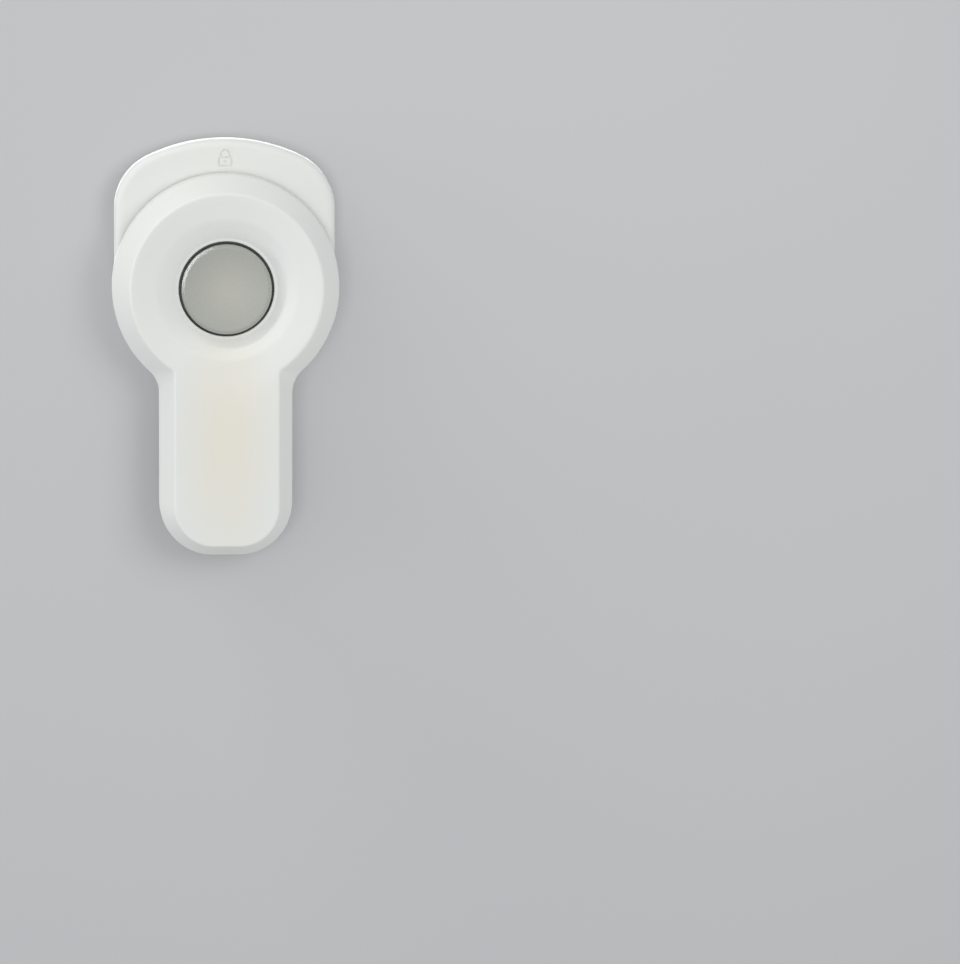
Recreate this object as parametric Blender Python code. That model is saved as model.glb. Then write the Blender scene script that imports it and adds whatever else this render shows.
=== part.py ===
"""Oven safety lock: a stick-on base, a swing arm that hangs over the door and a push button that frees it.

Each piece is drawn lying flat: x to the right, y up and depth out of the oven's panel. The lock's own
empty then stands it upright, so that the front faces -Y and +Z is up. The pivot is the depth axis.
"""

import math

import bmesh
import bpy
import numpy as np

MM = 0.001

# Clearances
SEAT = 0.3 * MM
RUNNING = 0.3 * MM
PRESS_ROOM = 0.4 * MM
BUTTON_GAP = 0.7 * MM

# Base, a shield with an arched top and a round lower end
BASE_WIDTH = 58.0 * MM
BASE_TOP = 38.5 * MM
BASE_ARCH = 46.5 * MM
BASE_CORNER = 15.3 * MM
BASE_DEPTH = 7.0 * MM
BASE_EDGE = 2.0 * MM
PAD_THICKNESS = 1.2 * MM
PAD_INSET = 1.5 * MM
PLATE_THICKNESS = 1.8 * MM
WALL = 2.0 * MM

# Swing arm, a round head with a straight tail
HEAD_DIAMETER = 59.7 * MM
TAIL_WIDTH = 35.0 * MM
TAIL_REACH = 71.0 * MM
TAIL_CORNER = 14.1 * MM
NECK_FILLET = 8.5 * MM
FACE_NECK_FILLET = 2.0 * MM
ARM_GAP = 0.5 * MM
ARM_PLATE = 1.8 * MM
SIDE_HEIGHT = 5.0 * MM
HEAD_SLOPE = 4.5 * MM
TAIL_SLOPE = 3.8 * MM
TAIL_END_SLOPE = 3.2 * MM
FACE_EDGE = 0.5 * MM
RIM_LAND = 0.6 * MM
DISH_DEPTH = 1.1 * MM
COUNTERSINK_WIDTH = 6.0 * MM
COUNTERSINK_DEPTH = 3.2 * MM
RIM_WALL = 1.8 * MM

# Button, its plunger and the spring inside it
TRAVEL = 2.5 * MM
BUTTON_DISH = 0.9 * MM
BUTTON_EDGE = 1.0 * MM
BUTTON_WALL = 1.8 * MM
SKIRT_WALL = 1.05 * MM
FLANGE_WIDTH = 1.6 * MM
FLANGE_THICKNESS = 0.9 * MM
PEG_RADIUS = 1.4 * MM
DISC_THICKNESS = 1.2 * MM
STEM_WALL = 0.8 * MM
SPRING_RADIUS = 2.2 * MM
SPRING_WIRE = 0.6 * MM
SPRING_TURNS = 7

# Latch, hub and retaining ring
LATCH_WIDTH = 5.0 * MM
LATCH_THICKNESS = 0.9 * MM
LATCH_FLEX = 1.5 * MM
LEG_TIP = 0.9 * MM
TOE_HEIGHT = 2.0 * MM
TOE_BITE = 1.2 * MM
TOE_TAPER = 0.9 * MM
HUB_WALL = 1.8 * MM
HUB_LIP = 0.7 * MM
COLLAR_WALL = 1.3 * MM
COLLAR_HEIGHT = 1.0 * MM
RING_THICKNESS = 0.7 * MM
RING_BITE = 0.6 * MM
RING_OPENING = math.radians(60)
NOTCH_RIM = 1.1 * MM

# Swing stop and friction washer
SWING = math.radians(90)
STOP_RADIUS = 1.6 * MM
STOP_HEIGHT = 1.9 * MM
SLOT_RIM = 2.3 * MM
WASHER_RIM = 1.6 * MM
WASHER_THICKNESS = 0.8 * MM

# Screws and their bosses
SCREW_RADIUS = 1.25 * MM
SCREW_HEAD_RADIUS = 2.4 * MM
SCREW_BITE = 2.8 * MM
SCREW_TIP = 0.6 * MM
BOSS_WALL = 1.5 * MM
PILOT_SPARE = 0.5 * MM
BASE_SCREW_INSET = 8.5 * MM
BASE_SCREW_BELOW = 13.0 * MM
BASE_SCREW_UNDER_TOP = 14.3 * MM
TAIL_SCREW_INSET = 7.0 * MM
TAIL_SCREW_FROM_HEAD = 8.0 * MM
TAIL_SCREW_FROM_END = 11.0 * MM

# Soft pad behind the tail
DOOR_PAD_INSET = 4.0 * MM
DOOR_PAD_THICKNESS = 5.0 * MM
DOOR_PAD_CORNER = 6.0 * MM
DOOR_PAD_EDGE = 1.2 * MM

# Facets
TURN_STEPS = 48
SMALL_STEPS = 12
CURL_POINTS = 10
OVERLAP = 1.0 * MM

# Depths through the base
BASE_REAR = PAD_THICKNESS + SEAT
PLATE_FRONT = BASE_REAR + PLATE_THICKNESS
INNER_FLOOR = PLATE_FRONT + SEAT
BASE_FRONT = BASE_REAR + BASE_DEPTH
BASE_CEILING = BASE_FRONT - WALL

# Depths through the arm and the hub
ARM_REAR = BASE_FRONT + ARM_GAP
ARM_FLOOR = ARM_REAR + ARM_PLATE
COLLAR_FRONT = ARM_FLOOR + COLLAR_HEIGHT
RING_REAR = COLLAR_FRONT + SEAT
RING_FRONT = RING_REAR + RING_THICKNESS
HUB_FRONT = RING_FRONT + HUB_LIP
FLANGE_REAR = ARM_FLOOR + PRESS_ROOM + TRAVEL
FLANGE_FRONT = FLANGE_REAR + FLANGE_THICKNESS
RIM_REAR = FLANGE_FRONT + SEAT
RIM_FRONT = RIM_REAR + RIM_WALL
SINK_FRONT = RIM_FRONT + COUNTERSINK_DEPTH
FACE = SINK_FRONT + DISH_DEPTH
SIDE_FRONT = ARM_REAR + SIDE_HEIGHT
ARM_CEILING = FACE - WALL

# Depths of the latch and the button at rest
LATCH_FLOOR = INNER_FLOOR + LATCH_THICKNESS
WINDOW_REAR = BASE_FRONT + SEAT
TOE_REAR = WINDOW_REAR + SEAT
TOE_FRONT = TOE_REAR + TOE_HEIGHT
WINDOW_FRONT = TOE_FRONT + SEAT
LEG_FRONT = TOE_FRONT + LEG_TIP
BUTTON_CEILING = HUB_FRONT + TRAVEL + PRESS_ROOM
BUTTON_FRONT = BUTTON_CEILING + BUTTON_WALL + BUTTON_DISH
DISC_FRONT = BUTTON_CEILING - SEAT
DISC_REAR = DISC_FRONT - DISC_THICKNESS
STEM_REAR = LATCH_FLOOR + TRAVEL + 2 * SEAT
SPRING_REAR = LATCH_FLOOR + SEAT
SPRING_FRONT = DISC_REAR - SEAT

# Radii from the spring outwards to the head
STEM_BORE = SPRING_RADIUS + SPRING_WIRE / 2 + SEAT
STEM_NECK = STEM_BORE + STEM_WALL
STEM_COLLAR = STEM_NECK + LATCH_FLEX
LEG_INSIDE = STEM_COLLAR + SEAT
LEG_OUTSIDE = LEG_INSIDE + LATCH_THICKNESS
HUB_BORE = math.hypot(LEG_OUTSIDE, LATCH_WIDTH / 2) + SEAT
HUB_RADIUS = HUB_BORE + HUB_WALL
BEARING_RADIUS = HUB_RADIUS + RUNNING
TOE_REACH = BEARING_RADIUS + TOE_BITE
NOTCH_REACH = TOE_REACH + SEAT
COLLAR_RADIUS = BEARING_RADIUS + COLLAR_WALL
SKIRT_INSIDE = COLLAR_RADIUS + SEAT
BUTTON_RADIUS = SKIRT_INSIDE + SKIRT_WALL
FLANGE_RADIUS = BUTTON_RADIUS + FLANGE_WIDTH
RIM_RADIUS = BUTTON_RADIUS + BUTTON_GAP
SINK_RADIUS = RIM_RADIUS + COUNTERSINK_WIDTH
HEAD_RADIUS = HEAD_DIAMETER / 2
DISH_RADIUS = HEAD_RADIUS - HEAD_SLOPE - RIM_LAND
ARM_PLATE_INSET = WALL + SEAT

# The stop lug's slot and the washer's recess in the arm's rear plate
SLOT_HALF = STOP_RADIUS + RUNNING
STOP_REACH = HEAD_RADIUS - ARM_PLATE_INSET - SLOT_RIM - SLOT_HALF
RECESS_OUTSIDE = STOP_REACH - SLOT_HALF - WASHER_RIM
RECESS_INSIDE = NOTCH_REACH + NOTCH_RIM
WASHER_REAR = BASE_FRONT + SEAT
RECESS_FRONT = WASHER_REAR + WASHER_THICKNESS + SEAT

# Screw places
BOSS_RADIUS = SCREW_RADIUS + SEAT + BOSS_WALL
BASE_SCREW_X = BASE_WIDTH / 2 - WALL - BASE_SCREW_INSET
BASE_SCREWS = [(side * BASE_SCREW_X, y)
               for y in (-BASE_SCREW_BELOW, BASE_TOP - BASE_SCREW_UNDER_TOP) for side in (-1, 1)]
TAIL_SCREW_X = TAIL_WIDTH / 2 - TAIL_SCREW_INSET
TAIL_SCREWS = [(side * TAIL_SCREW_X, y)
               for y in (-HEAD_RADIUS - TAIL_SCREW_FROM_HEAD, TAIL_SCREW_FROM_END - TAIL_REACH)
               for side in (-1, 1)]


# Outlines
def arc(x, y, radius, start, end, steps):
    """Points on an arc, both ends included."""
    angles = [start + (end - start) * i / steps for i in range(steps + 1)]
    return [(x + radius * math.cos(a), y + radius * math.sin(a)) for a in angles]


def shield(inset):
    """The base's outline, moved inwards by inset."""
    half = BASE_WIDTH / 2 - inset
    arch = BASE_ARCH - inset
    corner = BASE_CORNER - inset
    arch_y = BASE_TOP - BASE_ARCH
    corner_x = half - corner
    corner_y = arch_y + math.sqrt((arch - corner) ** 2 - corner_x ** 2)
    turn = math.atan2(corner_y - arch_y, corner_x)
    return (arc(0, 0, half, -math.pi, 0, 28)
            + arc(corner_x, corner_y, corner, 0, turn, 7)
            + arc(0, arch_y, arch, turn, math.pi - turn, 14)[1:-1]
            + arc(-corner_x, corner_y, corner, math.pi - turn, math.pi, 7))


def keyhole(head_inset, tail_inset, end_inset, neck):
    """The arm's outline, with head, tail and tail's end moved inwards and a neck fillet between them."""
    head = HEAD_RADIUS - head_inset
    half = TAIL_WIDTH / 2 - tail_inset
    end_y = end_inset - TAIL_REACH
    corner = min(TAIL_CORNER, TAIL_WIDTH / 2 - SEAT) - tail_inset
    neck_x = half + neck
    neck_y = -math.sqrt((head + neck) ** 2 - neck_x ** 2)
    join = math.atan2(neck_y, neck_x)
    return (arc(0, 0, head, join, math.pi - join, 52)
            + arc(-neck_x, neck_y, neck, -join, 0, 5)[1:]
            + arc(corner - half, end_y + corner, corner, math.pi, 1.5 * math.pi, 9)
            + arc(half - corner, end_y + corner, corner, 1.5 * math.pi, 2 * math.pi, 9)
            + arc(neck_x, neck_y, neck, math.pi, math.pi + join, 5)[:-1])


def arm_outline(inset):
    """The arm's outline moved inwards by the same amount all round."""
    return keyhole(inset, inset, inset, NECK_FILLET + inset)


def rounded_box(left, bottom, right, top, radius):
    corners = [(right, top, 0), (left, top, 1), (left, bottom, 2), (right, bottom, 3)]
    points = []
    for x, y, quarter in corners:
        start = quarter * math.pi / 2
        centre_x = x - math.copysign(radius, x - (left + right) / 2)
        centre_y = y - math.copysign(radius, y - (bottom + top) / 2)
        points += arc(centre_x, centre_y, radius, start, start + math.pi / 2, 5)
    return points


def arc_slot(radius, half, start, end, steps):
    """A curved slot with round ends."""
    first = (radius * math.cos(start), radius * math.sin(start))
    last = (radius * math.cos(end), radius * math.sin(end))
    return (arc(0, 0, radius + half, start, end, steps)
            + arc(*last, half, end, end + math.pi, 6)[1:-1]
            + arc(0, 0, radius - half, end, start, steps)
            + arc(*first, half, start + math.pi, start + 2 * math.pi, 6)[1:-1])


# Bodies
def at_depth(outline, depth):
    return [(x, y, depth) for x, y in outline]


def add_loft(shape, rings):
    """Adds a closed body through rings of equal count, with a flat face on the first and the last."""
    loops = [[shape.verts.new(point) for point in ring] for ring in rings]
    count = len(loops[0])
    for near, far in zip(loops, loops[1:]):
        for i in range(count):
            j = (i + 1) % count
            shape.faces.new((near[i], near[j], far[j], far[i]))
    shape.faces.new(loops[0][::-1])
    shape.faces.new(loops[-1])


def add_prism(shape, outline, rear, front):
    add_loft(shape, [at_depth(outline, rear), at_depth(outline, front)])


def add_turned(shape, profile, place=(0.0, 0.0), steps=TURN_STEPS):
    """Adds a turned body from (radius, depth) points, which end on the axis or close on themselves."""
    loops = []
    for radius, depth in profile:
        around = arc(*place, radius, 0, 2 * math.pi, steps)[:-1] if radius else [place]
        loops.append([shape.verts.new((x, y, depth)) for x, y in around])
    pairs = list(zip(loops, loops[1:]))
    if profile[0][0]:
        pairs.append((loops[-1], loops[0]))
    for near, far in pairs:
        for i in range(steps):
            j = (i + 1) % steps
            corners = (near[i % len(near)], near[j % len(near)], far[j % len(far)], far[i % len(far)])
            shape.faces.new(list(dict.fromkeys(corners)))


def add_rod(shape, radius, rear, front, place=(0.0, 0.0), steps=SMALL_STEPS):
    add_turned(shape, [(0, rear), (radius, rear), (radius, front), (0, front)], place, steps)


def add_sleeve(shape, inside, outside, rear, front):
    add_turned(shape, [(inside, rear), (outside, rear), (outside, front), (inside, front)])


def mesh_of(name, shape):
    bmesh.ops.recalc_face_normals(shape, faces=shape.faces)
    mesh = bpy.data.meshes.new(name)
    shape.to_mesh(mesh)
    shape.free()
    mesh.shade_smooth()
    mesh.set_sharp_from_angle(angle=math.radians(30))
    return mesh


def place_object(name, data, parent, material):
    piece = bpy.data.objects.new(name, data)
    piece.parent = parent
    data.materials.append(material)
    bpy.context.scene.collection.objects.link(piece)
    return piece


def piece_of(name, shape, parent, material):
    return place_object(name, mesh_of(name, shape), parent, material)


def combine(piece, operation, label, shape):
    """Joins shape to a piece or cuts it away, and keeps the helper out of sight."""
    helper = bpy.data.objects.new(f"{piece.name}_{label}", mesh_of(f"{piece.name}_{label}", shape))
    helper.parent = piece.parent
    helper.hide_render = True
    helper.display_type = "WIRE"
    bpy.context.scene.collection.objects.link(helper)
    change = piece.modifiers.new(label, "BOOLEAN")
    change.operation = operation
    change.solver = "EXACT"
    change.object = helper


def finish(name, colour, roughness, metallic=0.0):
    material = bpy.data.materials.new(name)
    material.use_nodes = True
    shader = material.node_tree.nodes["Principled BSDF"]
    shader.inputs["Base Color"].default_value = (*colour, 1.0)
    shader.inputs["Roughness"].default_value = roughness
    shader.inputs["Metallic"].default_value = metallic
    return material


# Screws, which share one form
def sunk_hole(front, rear):
    """Profile of a through hole with a cone for a sunk head at the rear."""
    bore = SCREW_RADIUS + SEAT
    mouth = SCREW_HEAD_RADIUS + SEAT
    cone_front = rear + mouth - bore
    return [(0, rear - OVERLAP), (mouth, rear - OVERLAP), (mouth, rear), (bore, cone_front),
            (bore, front + OVERLAP), (0, front + OVERLAP)]


def add_screw_form(shape, rear, seat, place):
    """A sunk-head screw, flush at the rear, that bites into the boss whose foot is at seat."""
    cone_front = rear + SCREW_HEAD_RADIUS - SCREW_RADIUS
    end = seat + SCREW_BITE
    add_turned(shape, [(0, rear), (SCREW_HEAD_RADIUS, rear), (SCREW_RADIUS, cone_front),
                       (SCREW_RADIUS, end - SCREW_TIP), (SCREW_RADIUS / 2, end), (0, end)],
               place, SMALL_STEPS)


def make_screws(name, rear, seat, places, parent, material):
    for number, place in enumerate(places, 1):
        shape = bmesh.new()
        add_screw_form(shape, rear + SEAT, seat, place)
        piece_of(f"{name}_{number}", shape, parent, material)


def add_pilots(shape, seat, places):
    for place in places:
        add_rod(shape, SCREW_RADIUS + SEAT, seat - OVERLAP, seat + SCREW_BITE + PILOT_SPARE, place)


# Base
def make_adhesive_pad(parent, material):
    shape = bmesh.new()
    add_prism(shape, shield(PAD_INSET), 0, PAD_THICKNESS)
    piece_of("adhesive_pad", shape, parent, material)


def make_back_plate(parent, material):
    shape = bmesh.new()
    add_prism(shape, shield(WALL + SEAT), BASE_REAR, PLATE_FRONT)
    plate = piece_of("back_plate", shape, parent, material)
    holes = bmesh.new()
    for place in BASE_SCREWS:
        add_turned(holes, sunk_hole(PLATE_FRONT, BASE_REAR), place, SMALL_STEPS)
    combine(plate, "DIFFERENCE", "screw_holes", holes)


def make_base_housing(parent, material):
    rounding = [(BASE_EDGE * (1 - math.cos(a)), BASE_FRONT - BASE_EDGE * (1 - math.sin(a)))
                for a in (0, math.pi / 6, math.pi / 3, math.pi / 2)]
    shape = bmesh.new()
    add_loft(shape, [at_depth(shield(WALL), BASE_CEILING), at_depth(shield(WALL), BASE_REAR),
                     at_depth(shield(0), BASE_REAR)]
             + [at_depth(shield(inset), depth) for inset, depth in rounding])
    housing = piece_of("base_housing", shape, parent, material)

    bosses = bmesh.new()
    add_rod(bosses, HUB_RADIUS, INNER_FLOOR, HUB_FRONT, steps=TURN_STEPS)
    add_rod(bosses, STOP_RADIUS, BASE_FRONT - OVERLAP, BASE_FRONT + STOP_HEIGHT, (0, STOP_REACH))
    for place in BASE_SCREWS:
        add_rod(bosses, BOSS_RADIUS, INNER_FLOOR, BASE_CEILING + OVERLAP, place)
    combine(housing, "UNION", "bosses", bosses)

    bores = bmesh.new()
    add_rod(bores, HUB_BORE, INNER_FLOOR - OVERLAP, HUB_FRONT + OVERLAP, steps=TURN_STEPS)
    add_sleeve(bores, HUB_RADIUS - RING_BITE - SEAT, HUB_RADIUS + OVERLAP, RING_REAR - SEAT / 2,
               RING_FRONT + SEAT / 2)
    add_pilots(bores, INNER_FLOOR, BASE_SCREWS)
    combine(housing, "DIFFERENCE", "bores", bores)

    windows = bmesh.new()
    reach = HUB_RADIUS + OVERLAP
    half = LATCH_WIDTH / 2 + SEAT
    add_prism(windows, [(-reach, -half), (reach, -half), (reach, half), (-reach, half)],
              WINDOW_REAR, WINDOW_FRONT)
    combine(housing, "DIFFERENCE", "windows", windows)


def make_retaining_ring(parent, material):
    start = -math.pi / 2 + RING_OPENING / 2
    end = 1.5 * math.pi - RING_OPENING / 2
    shape = bmesh.new()
    add_prism(shape, arc(0, 0, COLLAR_RADIUS - SEAT, start, end, 40)
              + arc(0, 0, HUB_RADIUS - RING_BITE, end, start, 40), RING_REAR, RING_FRONT)
    piece_of("retaining_ring", shape, parent, material)


def make_lock_latch(parent, material):
    """A sprung U whose toes reach through the hub's windows, with tapered flanks that let them cam in."""
    half = LATCH_WIDTH / 2
    leg = [(LEG_OUTSIDE, TOE_REAR), (HUB_RADIUS, TOE_REAR), (HUB_RADIUS, TOE_FRONT),
           (LEG_OUTSIDE, TOE_FRONT), (LEG_OUTSIDE, LEG_FRONT), (LEG_INSIDE, LEG_FRONT)]
    right = [(LEG_OUTSIDE, INNER_FLOOR)] + leg + [(LEG_INSIDE, LATCH_FLOOR)]
    profile = right + [(-x, depth) for x, depth in reversed(right)]
    toes = [(side * TOE_REACH, depth) for side in (1, -1) for depth in (TOE_REAR, TOE_FRONT)]

    shape = bmesh.new()
    flanks = []
    for side in (-1, 1):
        outline = {point: shape.verts.new((point[0], side * half, point[1])) for point in profile}
        tips = {point: shape.verts.new((point[0], side * (half - TOE_TAPER), point[1])) for point in toes}
        shape.faces.new(outline.values())
        for end in (1, -1):
            root = [outline[(end * HUB_RADIUS, depth)] for depth in (TOE_REAR, TOE_FRONT)]
            tip = [tips[(end * TOE_REACH, depth)] for depth in (TOE_FRONT, TOE_REAR)]
            shape.faces.new(root + tip)
        flanks.append({**outline, **tips})

    border = []
    for point in profile:
        border.append(point)
        if point == (HUB_RADIUS, TOE_REAR):
            border += toes[:2]
        if point == (-HUB_RADIUS, TOE_FRONT):
            border += toes[:1:-1]
    for here, ahead in zip(border, border[1:] + border[:1]):
        shape.faces.new((flanks[0][here], flanks[0][ahead], flanks[1][ahead], flanks[1][here]))
    piece_of("lock_latch", shape, parent, material)


def make_return_spring(parent, material):
    count = SPRING_TURNS * CURL_POINTS
    low = SPRING_REAR + SPRING_WIRE / 2
    rise = SPRING_FRONT - SPRING_WIRE / 2 - low
    turns = np.arange(count + 1) / CURL_POINTS
    points = np.stack([SPRING_RADIUS * np.cos(2 * np.pi * turns), SPRING_RADIUS * np.sin(2 * np.pi * turns),
                       low + rise * turns / SPRING_TURNS], axis=1)

    between = np.linalg.norm(points[:, None] - points[None], axis=2)
    apart = np.abs(turns[:, None] - turns[None]) >= 0.5
    gap = between[apart].min() - SPRING_WIRE
    print(f"return_spring: least gap to itself {gap / MM:.2f} mm")

    curve = bpy.data.curves.new("return_spring", "CURVE")
    curve.dimensions = "3D"
    curve.bevel_depth = SPRING_WIRE / 2
    curve.bevel_resolution = 1
    curve.use_fill_caps = True
    spline = curve.splines.new("POLY")
    spline.points.add(count)
    for target, point in zip(spline.points, points):
        target.co = (*point, 1.0)
    place_object("return_spring", curve, parent, material)


# Arm
def slope_inset(slope, depth):
    """How far the arm's inner wall lies inside its outer edge at a depth, one wall behind the slope."""
    run = FACE - SIDE_FRONT
    return slope * (depth - SIDE_FRONT) / run + WALL * math.hypot(slope, run) / run


def inner_start(slope):
    """Depth where the inner slope leaves the upright wall."""
    run = FACE - SIDE_FRONT
    return SIDE_FRONT - (math.hypot(slope, run) - run) * WALL / slope


def make_arm_cover(parent, material):
    slopes = (HEAD_SLOPE, TAIL_SLOPE, TAIL_END_SLOPE)
    bend = min(inner_start(slope) for slope in slopes)
    roof = [slope_inset(slope, ARM_CEILING) for slope in slopes]
    edge = FACE_EDGE / (FACE - SIDE_FRONT)
    near_face = [slope * (1 - edge) for slope in slopes]
    on_face = [slope + FACE_EDGE / 2 for slope in slopes]
    shape = bmesh.new()
    add_loft(shape, [
        at_depth(keyhole(*roof, NECK_FILLET), ARM_CEILING),
        at_depth(arm_outline(WALL), bend),
        at_depth(arm_outline(WALL), ARM_REAR),
        at_depth(arm_outline(0), ARM_REAR),
        at_depth(arm_outline(0), SIDE_FRONT),
        at_depth(keyhole(*near_face, FACE_NECK_FILLET), FACE - FACE_EDGE),
        at_depth(keyhole(*on_face, FACE_NECK_FILLET), FACE)])
    cover = piece_of("arm_cover", shape, parent, material)

    dish_slope = (DISH_RADIUS - SINK_RADIUS) / DISH_DEPTH
    bosses = bmesh.new()
    add_turned(bosses, [(RIM_RADIUS - OVERLAP, RIM_REAR), (FLANGE_RADIUS + RUNNING, RIM_REAR),
                        (SINK_RADIUS, SINK_FRONT - WALL),
                        (DISH_RADIUS + dish_slope * SEAT / 2, ARM_CEILING + SEAT / 2),
                        (RIM_RADIUS - OVERLAP, ARM_CEILING + SEAT / 2)])
    for place in TAIL_SCREWS:
        add_rod(bosses, BOSS_RADIUS, ARM_FLOOR + SEAT, ARM_CEILING + WALL / 2, place)
    combine(cover, "UNION", "bosses", bosses)

    cuts = bmesh.new()
    add_turned(cuts, [(0, RIM_REAR - OVERLAP), (RIM_RADIUS, RIM_REAR - OVERLAP), (RIM_RADIUS, RIM_FRONT),
                      (SINK_RADIUS, SINK_FRONT), (DISH_RADIUS + dish_slope * SEAT, FACE + SEAT),
                      (0, FACE + SEAT)])
    add_pilots(cuts, ARM_FLOOR + SEAT, TAIL_SCREWS)
    combine(cover, "DIFFERENCE", "dish_and_pilots", cuts)


def make_arm_back(parent, material):
    shape = bmesh.new()
    add_prism(shape, arm_outline(ARM_PLATE_INSET), ARM_REAR, ARM_FLOOR)
    back = piece_of("arm_back", shape, parent, material)

    collar = bmesh.new()
    add_rod(collar, COLLAR_RADIUS, ARM_FLOOR - ARM_PLATE / 2, COLLAR_FRONT, steps=TURN_STEPS)
    combine(back, "UNION", "collar", collar)

    cuts = bmesh.new()
    add_rod(cuts, BEARING_RADIUS, ARM_REAR - OVERLAP, COLLAR_FRONT + OVERLAP, steps=TURN_STEPS)
    add_sleeve(cuts, RECESS_INSIDE, RECESS_OUTSIDE, ARM_REAR - OVERLAP, RECESS_FRONT)
    play = RUNNING / STOP_REACH
    stop_slot = arc_slot(STOP_REACH, SLOT_HALF, math.pi / 2 - SWING - play, math.pi / 2 + SWING + play, 30)
    add_prism(cuts, stop_slot, ARM_REAR - OVERLAP, ARM_FLOOR + OVERLAP)
    for place in TAIL_SCREWS:
        add_turned(cuts, sunk_hole(ARM_FLOOR, ARM_REAR), place, SMALL_STEPS)
    combine(back, "DIFFERENCE", "openings", cuts)

    notches = bmesh.new()
    taper = TOE_TAPER / (TOE_REACH - HUB_RADIUS)
    middle = LATCH_WIDTH / 2 + SEAT * math.hypot(1, taper)
    widths = [(reach, middle - taper * (reach - HUB_RADIUS)) for reach in (HUB_BORE, NOTCH_REACH)]
    outline = [(reach, -half) for reach, half in widths] + [(reach, half) for reach, half in widths[::-1]]
    for quarter in range(4):
        cos, sin = math.cos(quarter * math.pi / 2), math.sin(quarter * math.pi / 2)
        add_prism(notches, [(x * cos - y * sin, x * sin + y * cos) for x, y in outline],
                  ARM_REAR - OVERLAP, COLLAR_FRONT + OVERLAP)
    combine(back, "DIFFERENCE", "notches", notches)


def make_friction_washer(parent, material):
    shape = bmesh.new()
    add_sleeve(shape, RECESS_INSIDE + SEAT, RECESS_OUTSIDE - SEAT, WASHER_REAR,
               WASHER_REAR + WASHER_THICKNESS)
    piece_of("friction_washer", shape, parent, material)


def make_door_pad(parent, material):
    """A soft block on the tail's rear that keeps clear of the base as the arm swings."""
    front = ARM_REAR - SEAT
    rear = front - DOOR_PAD_THICKNESS
    half = TAIL_WIDTH / 2 - DOOR_PAD_INSET
    top = -HEAD_RADIUS - DOOR_PAD_INSET
    bottom = DOOR_PAD_INSET - TAIL_REACH
    shape = bmesh.new()
    rings = []
    for angle in (math.pi / 2, math.pi / 4, 0):
        inset = DOOR_PAD_EDGE * (1 - math.cos(angle))
        outline = rounded_box(inset - half, bottom + inset, half - inset, top - inset,
                              DOOR_PAD_CORNER - inset)
        rings.append(at_depth(outline, rear + DOOR_PAD_EDGE * (1 - math.sin(angle))))
    add_loft(shape, rings + [at_depth(rounded_box(-half, bottom, half, top, DOOR_PAD_CORNER), front)])
    piece_of("door_pad", shape, parent, material)


# Button
def make_button_cap(parent, material):
    """A cup with a dished top, a round edge and a flange that the arm's rim holds in."""
    flat = BUTTON_RADIUS - BUTTON_EDGE
    dish = [(flat * i / 4, BUTTON_FRONT - BUTTON_DISH * (1 - (i / 4) ** 2)) for i in range(4)]
    edge = arc(flat, BUTTON_FRONT - BUTTON_EDGE, BUTTON_EDGE, math.pi / 2, 0, 4)
    shape = bmesh.new()
    add_turned(shape, dish + edge + [
        (BUTTON_RADIUS, FLANGE_FRONT), (FLANGE_RADIUS, FLANGE_FRONT), (FLANGE_RADIUS, FLANGE_REAR),
        (SKIRT_INSIDE, FLANGE_REAR), (SKIRT_INSIDE, BUTTON_CEILING), (PEG_RADIUS, BUTTON_CEILING),
        (PEG_RADIUS, DISC_REAR + SEAT), (0, DISC_REAR + SEAT)])
    piece_of("button_cap", shape, parent, material)


def make_button_plunger(parent, material):
    """A stem whose collar backs the latch's legs, and whose neck above it frees them when pressed."""
    collar_front = TOE_FRONT + SEAT
    peg_hole = PEG_RADIUS + SEAT
    shape = bmesh.new()
    add_turned(shape, [
        (peg_hole, DISC_FRONT), (HUB_BORE - RUNNING, DISC_FRONT), (HUB_BORE - RUNNING, DISC_REAR),
        (STEM_NECK, DISC_REAR), (STEM_NECK, collar_front), (STEM_COLLAR, collar_front),
        (STEM_COLLAR, STEM_REAR), (STEM_BORE, STEM_REAR), (STEM_BORE, DISC_REAR), (peg_hole, DISC_REAR)],
        steps=TURN_STEPS // 2)
    piece_of("button_plunger", shape, parent, material)


def make_empty(name, parent=None):
    empty = bpy.data.objects.new(name, None)
    empty.empty_display_size = HEAD_RADIUS
    empty.parent = parent
    bpy.context.scene.collection.objects.link(empty)
    return empty


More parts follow.
